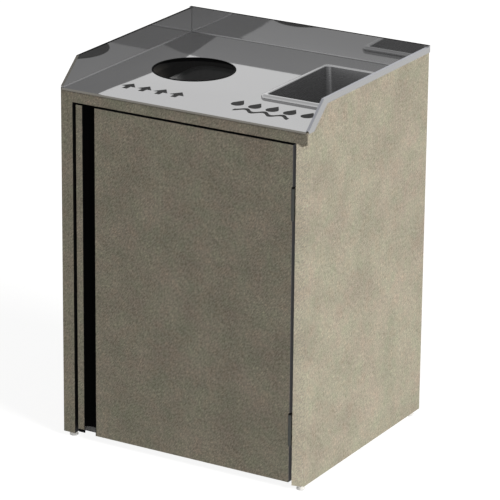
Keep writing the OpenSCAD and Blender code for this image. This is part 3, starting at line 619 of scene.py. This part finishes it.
# A lighter, glossier copy of the pan's steel on the rim band: painted highlight
rim_painted_highlight = metal_finish("rim_steel_painted_highlight", (0.50, 0.50, 0.505), (0.55, 0.55, 0.555), 0.16,
                         relief=0.01)
pan_centre = (pan_low + pan_high) / 2
pan_half_w, pan_half_l = (pan_high.x - pan_low.x) / 2, (pan_high.y - pan_low.y) / 2
rim_round, pan_wall, pan_flange, pan_taper = 0.0078, 0.0012, 0.0135, 0.011
pan_corner, mouth_corner, floor_corner, under_corner = 0.013, 0.012, 0.019, 0.020
mouth_bend, pan_fillet, seat_gap, under_bend, under_step = 0.0035, 0.012, 0.0003, 0.006, 0.004
rim_top, pan_floor = pan_high.z, pan_low.z
rim_foot, round_height = rim_top - rim_height + seat_gap, rim_top - rim_round
slope_of_wall = pan_taper / (rim_top - pan_floor)
pan_profile = [(0, rim_foot, None)] + bend(rim_round, round_height, rim_round, 0, 90, 8)
pan_profile += bend(pan_flange - mouth_bend, rim_top - mouth_bend, mouth_bend, 90, 176, 6,
                    corner=mouth_corner)
low_inset = pan_flange + slope_of_wall * (rim_top - pan_floor - pan_fillet)
pan_profile += bend(low_inset + pan_fillet, pan_floor + pan_wall + pan_fillet, pan_fillet, -4, -90, 7,
                    corner=floor_corner)
pan_under = [(low_inset + pan_fillet, pan_floor, floor_corner)]
pan_under += bend(low_inset + pan_fillet, pan_floor + pan_fillet, pan_fillet, -90, -4, 7,
                  corner=under_corner)
pan_under += [(pan_flange - pan_wall, rim_top - under_bend, mouth_corner),
              (pan_flange - under_step, rim_top - pan_wall, mouth_corner)]
pan_under += bend(rim_round, round_height, rim_round - pan_wall, 90, 0, 8)
pan_under += [(pan_wall, rim_foot, None)]
shape = bmesh.new()
inner_loops = swept_walls(shape, pan_profile, pan_half_w, pan_half_l, pan_corner, pan_centre)
outer_loops = swept_walls(shape, pan_under, pan_half_w, pan_half_l, pan_corner, pan_centre)
shape.faces.new(inner_loops[-1])
shape.faces.new(list(reversed(outer_loops[0])))
for i in range(len(inner_loops[0])):
    j = (i + 1) % len(inner_loops[0])
    shape.faces.new((outer_loops[-1][i], outer_loops[-1][j], inner_loops[0][j], inner_loops[0][i]))
pan_piece = finished_shape("drawn_liquids_pan", shape, pan_steel, "pan", ["liquids_pan"])
for finish in (rim_painted_highlight, inner_pan_painted_shade, front_wall_painted_light):
    pan_piece.data.materials.append(finish)
rim_band, facing_in, facing_back = 0.009, 0.02, 0.7
for face in pan_piece.data.polygons:
    if face.center.z > rim_top - rim_band:
        face.material_index = 1
    elif face.normal.z > facing_in:
        face.material_index = 3 if face.normal.y > facing_back else 2


# Waste bin
# A tall slim bin moulded in grey polyethylene: walls that taper to the base, a rolled rim over a
# wider band, a hand hole in each end and shallow ribs. It stands loose on the bottom board.
bin_low, bin_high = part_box("waste_bin")
bin_centre = (bin_low + bin_high) / 2
bin_half_w, bin_half_l = (bin_high.x - bin_low.x) / 2, (bin_high.y - bin_low.y) / 2
bin_roll, bin_wall, bin_corner, bin_taper, band_depth = 0.006, 0.003, 0.046, 0.026, 0.026
bin_top, bin_base = bin_high.z, bin_low.z
roll_middle = bin_top - bin_roll


def bin_inset(height):
    """How far the outer wall stands in from the rim's edge at a height."""
    return bin_roll + bin_taper * (roll_middle - height) / (roll_middle - bin_base)


base_in, base_step, base_rise, least_corner = 0.006, 0.001, 0.005, 0.006
rib_heights, rib_depth, rib_half, rib_reach = (0.16, 0.30, 0.44, 0.58), 0.0022, 0.004, 0.008
rib_lean = 0.0002
bin_outer = [(bin_inset(bin_base) + base_in, bin_base, None),
             (bin_inset(bin_base) + base_step, bin_base + base_rise, None)]
for rib_height in rib_heights:
    height = bin_base + rib_height
    inset = bin_inset(height)
    bin_outer += [(inset + rib_lean, height - rib_reach, None),
                  (inset + rib_depth, height - rib_half, None),
                  (inset + rib_depth, height + rib_half, None),
                  (inset - rib_lean, height + rib_reach, None)]
band_low, band_step, band_inset = roll_middle - band_depth, 0.001, bin_roll - bin_wall / 2 + rib_lean
bin_outer += [(bin_inset(band_low) - rib_lean / 2, band_low - band_step, None),
              (band_inset, band_low + band_step, None),
              (band_inset, roll_middle - bin_roll * 0.9, None)]
bin_outer += bend(bin_roll, roll_middle, bin_roll, -75, 175, 14)
rim_return, rim_tuck, band_rise, band_in, band_foot_in = 0.003, 0.0005, 0.004, 0.002, 0.0055
bin_inner = [(bin_roll * 2 - rim_tuck, roll_middle - rim_return, None),
             (bin_roll + bin_wall + band_in, band_low + band_rise, None),
             (bin_roll + bin_wall + band_foot_in, band_low, None)]
inner_lean, floor_rise, floor_t, floor_in = 0.0012, 0.012, 0.004, 0.008
for rib_height in reversed(rib_heights):
    height = bin_base + rib_height
    bin_inner.append((bin_inset(height) + bin_wall + inner_lean, height, None))
bin_inner += [(bin_inset(bin_base) + bin_wall + base_step, bin_base + floor_rise, None),
              (bin_inset(bin_base) + bin_wall + floor_in, bin_base + floor_t, None)]
shape = bmesh.new()
bin_loops = swept_walls(shape, bin_outer + bin_inner, bin_half_w, bin_half_l, bin_corner, bin_centre,
                        least_corner)
shape.faces.new(list(reversed(bin_loops[0])))
shape.faces.new(bin_loops[-1])
bin_plastic_painted_glow, bin_rim_plastic_painted_glow = (
    moulded_finish(name, (0.20, 0.203, 0.207), (0.24, 0.243, 0.247), 0.5, 500, 0.3)
    for name in ("grey_bin_plastic_painted_glow", "grey_rim_plastic_painted_glow"))
# The bin glows faintly and its rim less: painted light inside the dark carcass
add_glow(bin_plastic_painted_glow, 0.016)
add_glow(bin_rim_plastic_painted_glow, 0.009)
bin_piece = finished_shape("moulded_waste_bin", shape, bin_plastic_painted_glow, "cabinet",
                           ["waste_bin"])
bin_piece.data.materials.append(bin_rim_plastic_painted_glow)
for face in bin_piece.data.polygons:
    if face.center.z > roll_middle - band_rise:
        face.material_index = 1

grip_half, grip_radius, grip_drop, grip_steps, cut_past = 0.032, 0.014, 0.060, 12, 0.02
grip_height = bin_top - grip_drop
cutter_shape = bmesh.new()
outline = []
for side, start in ((1, -90), (-1, 90)):
    for step in range(grip_steps + 1):
        angle = math.radians(start + 180 * step / grip_steps)
        outline.append((side * grip_half + grip_radius * math.cos(angle),
                        grip_height + grip_radius * math.sin(angle)))
reach = bin_half_l + cut_past
near = [cutter_shape.verts.new((bin_centre.x + x, bin_centre.y - reach, z)) for x, z in outline]
far = [cutter_shape.verts.new((bin_centre.x + x, bin_centre.y + reach, z)) for x, z in outline]
cutter_shape.faces.new(near)
cutter_shape.faces.new(list(reversed(far)))
for i in range(len(near)):
    j = (i + 1) % len(near)
    cutter_shape.faces.new((near[j], near[i], far[i], far[j]))
bmesh.ops.recalc_face_normals(cutter_shape, faces=cutter_shape.faces)
cutter_mesh = bpy.data.meshes.new("hand_holes")
cutter_shape.to_mesh(cutter_mesh)
cutter_shape.free()
cutter = bpy.data.objects.new("hand_holes", cutter_mesh)
bpy.context.scene.collection.objects.link(cutter)
cut = bin_piece.modifiers.new("hand_holes", "BOOLEAN")
cut.operation = "DIFFERENCE"
cut.solver = "EXACT"
cut.object = cutter
bpy.context.view_layer.update()
evaluated_bin = bin_piece.evaluated_get(bpy.context.evaluated_depsgraph_get())
pierced = bpy.data.meshes.new_from_object(evaluated_bin)
bin_piece.modifiers.remove(cut)
bin_piece.data = pierced
bpy.data.objects.remove(cutter)


# Door slab
# A laminate-faced board that fills the front between the stiles, with the finger pull let into its
# left edge. It hangs on two butt hinges at its right edge, which has a dark grey band with a glow:
# painted shade and painted light that make the hinge gap look evenly dark grey.
hinge_gap_painted_shade = moulded_finish("grey_edge_band_painted_shade_and_glow", (0.080, 0.076, 0.080), (0.095, 0.090, 0.095), 0.6)
add_glow(hinge_gap_painted_shade, 0.035)
finished_copy("door_panel", "door", laminate, laminate_edge, [
    (black_band_and_gap_shade, lambda n, c: abs(n.y) < level), (hinge_gap_painted_shade, lambda n, c: n.x > level)])


# Finger pull
# A black extruded section as tall as the door: a half-round trough, a lip over its left part and a
# flange screwed to the door's back. A laminate strip covers the lip, and a grey trim ends the trough.
def extruded_finish():
    """Black plastic drawn through a die: fine lines up its length."""
    material, tree, shader = new_material("black_extruded_plastic", 0.6, specular=0.04)
    drawn = noise(tree, place_on_object(tree, scale=(700, 700, 6)), 1, 2, 0.6)
    tone = mixed(tree, "MIX", drawn, (0.002, 0.002, 0.002), (0.004, 0.004, 0.004))
    tree.links.new(tone, shader.inputs["Base Color"])
    bumped(tree, shader, drawn, 0.2, 0.0001)
    return material


black_extrusion = extruded_finish()
finished_copy("door_pull", "door", black_extrusion)
finished_copy("pull_lip_strip", "door", laminate, board_edge,
              [(black_band_and_gap_shade, lambda n, c: n.x > level)])
# The end trim's light grey is painted light: the light that reaches the trough's foot from below
end_trim_painted_light = moulded_finish("grey_trim_plastic_painted_light", (0.50, 0.50, 0.49), (0.58, 0.58, 0.57), 0.5)
finished_copy("pull_end_trim", "door", end_trim_painted_light)


# Hinges
# Two butt hinges of dark plated steel. Each has a leaf on the door's edge and one on the stile,
# five knuckles in front of the door's face and a pin with a small head. They cast no shadow, because
# the panel beside them shows none.
hinge_steel = metal_finish("dark_plated_steel", (0.060, 0.062, 0.059), (0.080, 0.083, 0.079), 0.42,
                           (300, 300, 12), 0.1)
pin_steel = metal_finish("blackened_pin_steel", (0.008, 0.008, 0.008), (0.014, 0.014, 0.014), 0.35,
                         (300, 300, 12), 0.1)
for place in ("upper", "lower"):
    for node, body, slot, finish in (("hinge_frame_leaf_", "cabinet", "hinge_steel", hinge_steel),
                                     ("hinge_door_leaf_", "door", "hinge_steel", hinge_steel),
                                     ("hinge_pin_", "cabinet", "pin_steel", pin_steel)):
        part = finished_copy(node + place, body, finish)
        part.visible_shadow = False


# Screws
# Bright zinc-plated screws with a cross recess: countersunk in the hinge leaves, the pull and the
# strike plate, and with a flat head in the back panel and the catch.
screw_tree, given = tree_with("cross_head_screw", (
    "Head top radius", "Head base radius", "Head height", "Shank radius", "Shank length",
    "Recess width", "Recess length", "Recess depth"), ("Turn",))
head = add_node(screw_tree, "GeometryNodeMeshCone", {
    "Vertices": 28, "Radius Top": given["Head top radius"], "Radius Bottom": given["Head base radius"],
    "Depth": given["Head height"]})
minus_head = add_node(screw_tree, "ShaderNodeMath", {0: given["Head height"], 1: -1.0},
                      operation="MULTIPLY")
head_shift = add_node(screw_tree, "ShaderNodeCombineXYZ", {"Z": minus_head.outputs[0]})
lowered_head = add_node(screw_tree, "GeometryNodeTransform", {
    "Geometry": head.outputs["Mesh"], "Translation": head_shift.outputs[0]})
double_depth = add_node(screw_tree, "ShaderNodeMath", {0: given["Recess depth"], 1: 2.0},
                        operation="MULTIPLY")
slots = []
for first, second in (("Recess width", "Recess length"), ("Recess length", "Recess width")):
    size = add_node(screw_tree, "ShaderNodeCombineXYZ", {
        "X": given[first], "Y": given[second], "Z": double_depth.outputs[0]})
    slots.append(add_node(screw_tree, "GeometryNodeMeshCube", {"Size": size.outputs[0]}))
recessed = add_node(screw_tree, "GeometryNodeMeshBoolean", {"Mesh 1": lowered_head.outputs["Geometry"]},
                    operation="DIFFERENCE")
for slot_cube in slots:
    screw_tree.links.new(slot_cube.outputs["Mesh"], recessed.inputs["Mesh 2"])
shank = add_node(screw_tree, "GeometryNodeMeshCylinder", {
    "Vertices": 20, "Radius": given["Shank radius"], "Depth": given["Shank length"]})
half_shank = add_node(screw_tree, "ShaderNodeMath", {0: given["Shank length"], 1: -0.5},
                      operation="MULTIPLY")
shank_level = add_node(screw_tree, "ShaderNodeMath", {
    0: half_shank.outputs[0], 1: minus_head.outputs[0]}, operation="ADD")
shank_shift = add_node(screw_tree, "ShaderNodeCombineXYZ", {"Z": shank_level.outputs[0]})
lowered_shank = add_node(screw_tree, "GeometryNodeTransform", {
    "Geometry": shank.outputs["Mesh"], "Translation": shank_shift.outputs[0]})
screw = add_node(screw_tree, "GeometryNodeJoinGeometry")
screw_tree.links.new(recessed.outputs["Mesh"], screw.inputs["Geometry"])
screw_tree.links.new(lowered_shank.outputs["Geometry"], screw.inputs["Geometry"])
turned = add_node(screw_tree, "FunctionNodeEulerToRotation", {"Euler": given["Turn"]})
placed_screws = add_node(screw_tree, "GeometryNodeInstanceOnPoints", {
    "Points": given["Geometry"], "Instance": screw.outputs["Geometry"],
    "Rotation": turned.outputs["Rotation"]})
end_tree(screw_tree, placed_screws.outputs["Instances"], given["Finish"])


def loose_boxes(node):
    """The lowest and highest corner of each loose solid in a CAD node."""
    shape = bmesh.new()
    shape.from_mesh(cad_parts[node].data)
    bmesh.ops.remove_doubles(shape, verts=shape.verts, dist=merge_gap)
    seen, boxes = set(), []
    for vert in shape.verts:
        if vert in seen:
            continue
        group, queue = [], [vert]
        seen.add(vert)
        while queue:
            current = queue.pop()
            group.append(current.co.copy())
            for link in current.link_edges:
                other = link.other_vert(current)
                if other not in seen:
                    seen.add(other)
                    queue.append(other)
        boxes.append([Vector([pick(p[i] for p in group) for i in range(3)]) for pick in (min, max)])
    shape.free()
    return boxes


screw_steel = metal_finish("zinc_plated_steel", (0.50, 0.50, 0.49), (0.62, 0.62, 0.61), 0.28,
                           (400, 400, 400), 0.1)
quarter = math.pi / 2
screw_sets = (
    # node, body, the axis and side that the head faces, the turn, flat head or not
    ("hinge_frame_screws", "cabinet", 0, -1, (0, -quarter, 0), False),
    ("hinge_door_screws", "door", 0, 1, (0, quarter, 0), False),
    ("pull_screws", "door", 1, 1, (-quarter, 0, 0), False),
    ("strike_screws", "door", 1, 1, (-quarter, 0, 0), False),
    ("back_screws", "cabinet", 1, 1, (-quarter, 0, 0), True),
    ("catch_screws", "cabinet", 2, -1, (math.pi, 0, 0), True),
)
flat_head_height, sunk_head_height, recess_depth = 0.0012, 0.002, 0.0011
shank_size, thick_head = 0.0019, 0.005
# Shares of a screw's own sizes: the first two keep it just inside its CAD solid
head_share, shank_share, flat_top_share = 0.985, 0.98, 0.86
recess_width_share, recess_length_share = 0.26, 1.15
for node, body, axis, facing, turn, flat_head in screw_sets:
    heads, length, width = [], 0, 0
    for low, high in loose_boxes(node):
        middle = (low + high) / 2
        middle[axis] = high[axis] if facing > 0 else low[axis]
        heads.append(middle)
        length = high[axis] - low[axis]
        width = max((high - low)[(axis + 1) % 3], width)
    head_height = flat_head_height if flat_head else sunk_head_height
    head_radius = width / 2 * head_share
    shank_radius = shank_size if width > thick_head else head_radius
    grown(node + "_finished", heads, screw_tree, {
        "Head top radius": head_radius * (flat_top_share if flat_head else 1),
        "Head base radius": head_radius if flat_head else shank_radius, "Head height": head_height,
        "Shank radius": shank_radius * shank_share, "Shank length": length - head_height,
        "Recess width": head_radius * recess_width_share,
        "Recess length": head_radius * recess_length_share, "Recess depth": recess_depth,
        "Turn": turn}, screw_steel, body, [node])


# Magnetic catch, strike plate and bumpers
# A white moulded catch with a magnet under the stop cleat, a steel plate for it on the door's back,
# and four rubber studs that the closed door lies against.
white_plastic = moulded_finish("white_catch_plastic", (0.66, 0.66, 0.64), (0.72, 0.72, 0.70), 0.35)
magnet_metal = metal_finish("sintered_magnet", (0.10, 0.10, 0.105), (0.14, 0.14, 0.145), 0.4,
                            (90, 90, 90), 0.2)
rubber = moulded_finish("black_rubber", (0.012, 0.012, 0.012), (0.020, 0.020, 0.020), 0.8)
catch_edge, magnet_edge = 0.0005, 0.0003
finished_copy("catch_body", "cabinet", white_plastic, catch_edge)
finished_copy("catch_magnet", "cabinet", magnet_metal, magnet_edge)
finished_copy("strike_plate", "door", screw_steel)
finished_copy("door_bumpers", "cabinet", rubber)


# Floor, lights and the room's tone
# Not pieces. A plain pale floor that keeps the soft shadow, one broad lamp from the right, and a
# white room, which the steel shows greyer overhead and on the right.
floor_half = 30
floor_mesh = bpy.data.meshes.new("floor")
floor_mesh.from_pydata([(-floor_half, -floor_half, 0), (floor_half, -floor_half, 0),
                        (floor_half, floor_half, 0), (-floor_half, floor_half, 0)], [], [(0, 1, 2, 3)])
floor = bpy.data.objects.new("floor", floor_mesh)
bpy.context.scene.collection.objects.link(floor)
floor_paint = bpy.data.materials.new("pale_floor")
floor_paint.use_nodes = True
tree = floor_paint.node_tree
tree.nodes.clear()
white, shown_grey, lit_grey = (1, 1, 1, 1), (0.36, 0.36, 0.36, 1), (0.20, 0.20, 0.20, 1)
seen_by = add_node(tree, "ShaderNodeLightPath").outputs
seen_direct = add_node(tree, "ShaderNodeMath", {
    0: seen_by["Is Camera Ray"], 1: seen_by["Is Glossy Ray"]}, operation="MAXIMUM")
seen = add_node(tree, "ShaderNodeMath", {0: seen_direct.outputs[0], 1: seen_by["Is Transmission Ray"]},
                operation="MAXIMUM")
shown_paint = add_node(tree, "ShaderNodeBsdfDiffuse", {"Color": shown_grey})
shown_glow = add_node(tree, "ShaderNodeEmission", {"Color": white, "Strength": 0.90})
shown = add_node(tree, "ShaderNodeAddShader", {0: shown_paint.outputs[0], 1: shown_glow.outputs[0]})
lit_paint = add_node(tree, "ShaderNodeBsdfDiffuse", {"Color": lit_grey})
floor_mix = add_node(tree, "ShaderNodeMixShader", {
    0: seen.outputs[0], 1: lit_paint.outputs[0], 2: shown.outputs[0]})
add_node(tree, "ShaderNodeOutputMaterial", {"Surface": floor_mix.outputs[0]})
floor_mesh.materials.append(floor_paint)

key = bpy.data.lights.new("key", "SUN")
key.energy = 2.6
key.angle = math.radians(22)
key.color = (1.0, 0.985, 0.955)
key_object = bpy.data.objects.new("key", key)
key_forward, key_height = math.radians(12.5), math.radians(27)
towards_key = Vector((math.cos(key_forward) * math.cos(key_height),
                      -math.sin(key_forward) * math.cos(key_height), math.sin(key_height)))
key_object.rotation_mode = "QUATERNION"
key_object.rotation_quaternion = towards_key.to_track_quat("Z", "Y")
key_object.visible_glossy = False
bpy.context.scene.collection.objects.link(key_object)

world = bpy.data.worlds.new("room")
bpy.context.scene.world = world
world.use_nodes = True
tree = world.node_tree
tree.nodes.clear()
seen_by = add_node(tree, "ShaderNodeLightPath").outputs
direction = add_node(tree, "ShaderNodeTexCoord")
parts = add_node(tree, "ShaderNodeSeparateXYZ", {0: direction.outputs["Generated"]})
across_depth = add_node(tree, "ShaderNodeMath", {0: parts.outputs["X"], 1: parts.outputs["Y"]},
                        operation="MULTIPLY")
# The room's tone as the steel shows it: a level, and how much it changes along each direction
toned = 1.02
for direction_part, change in ((across_depth.outputs[0], -0.25), (parts.outputs["X"], -0.12),
                               (parts.outputs["Z"], -0.5)):
    toned = add_node(tree, "ShaderNodeMath", {0: direction_part, 1: change, 2: toned},
                     operation="MULTIPLY_ADD").outputs[0]
room_tone = add_node(tree, "ShaderNodeBackground", {"Color": white, "Strength": toned})
white_room = add_node(tree, "ShaderNodeBackground", {"Color": white, "Strength": 1.0})
room_light = add_node(tree, "ShaderNodeBackground", {"Color": white, "Strength": 0.14})
lit_or_glossy = add_node(tree, "ShaderNodeMixShader", {
    0: seen_by["Is Glossy Ray"], 1: room_light.outputs[0], 2: room_tone.outputs[0]})
clear = add_node(tree, "ShaderNodeMath", {
    0: seen_by["Is Camera Ray"], 1: seen_by["Is Transmission Ray"]}, operation="MAXIMUM")
room = add_node(tree, "ShaderNodeMixShader", {
    0: clear.outputs[0], 1: lit_or_glossy.outputs[0], 2: white_room.outputs[0]})
add_node(tree, "ShaderNodeOutputWorld", {"Surface": room.outputs[0]})
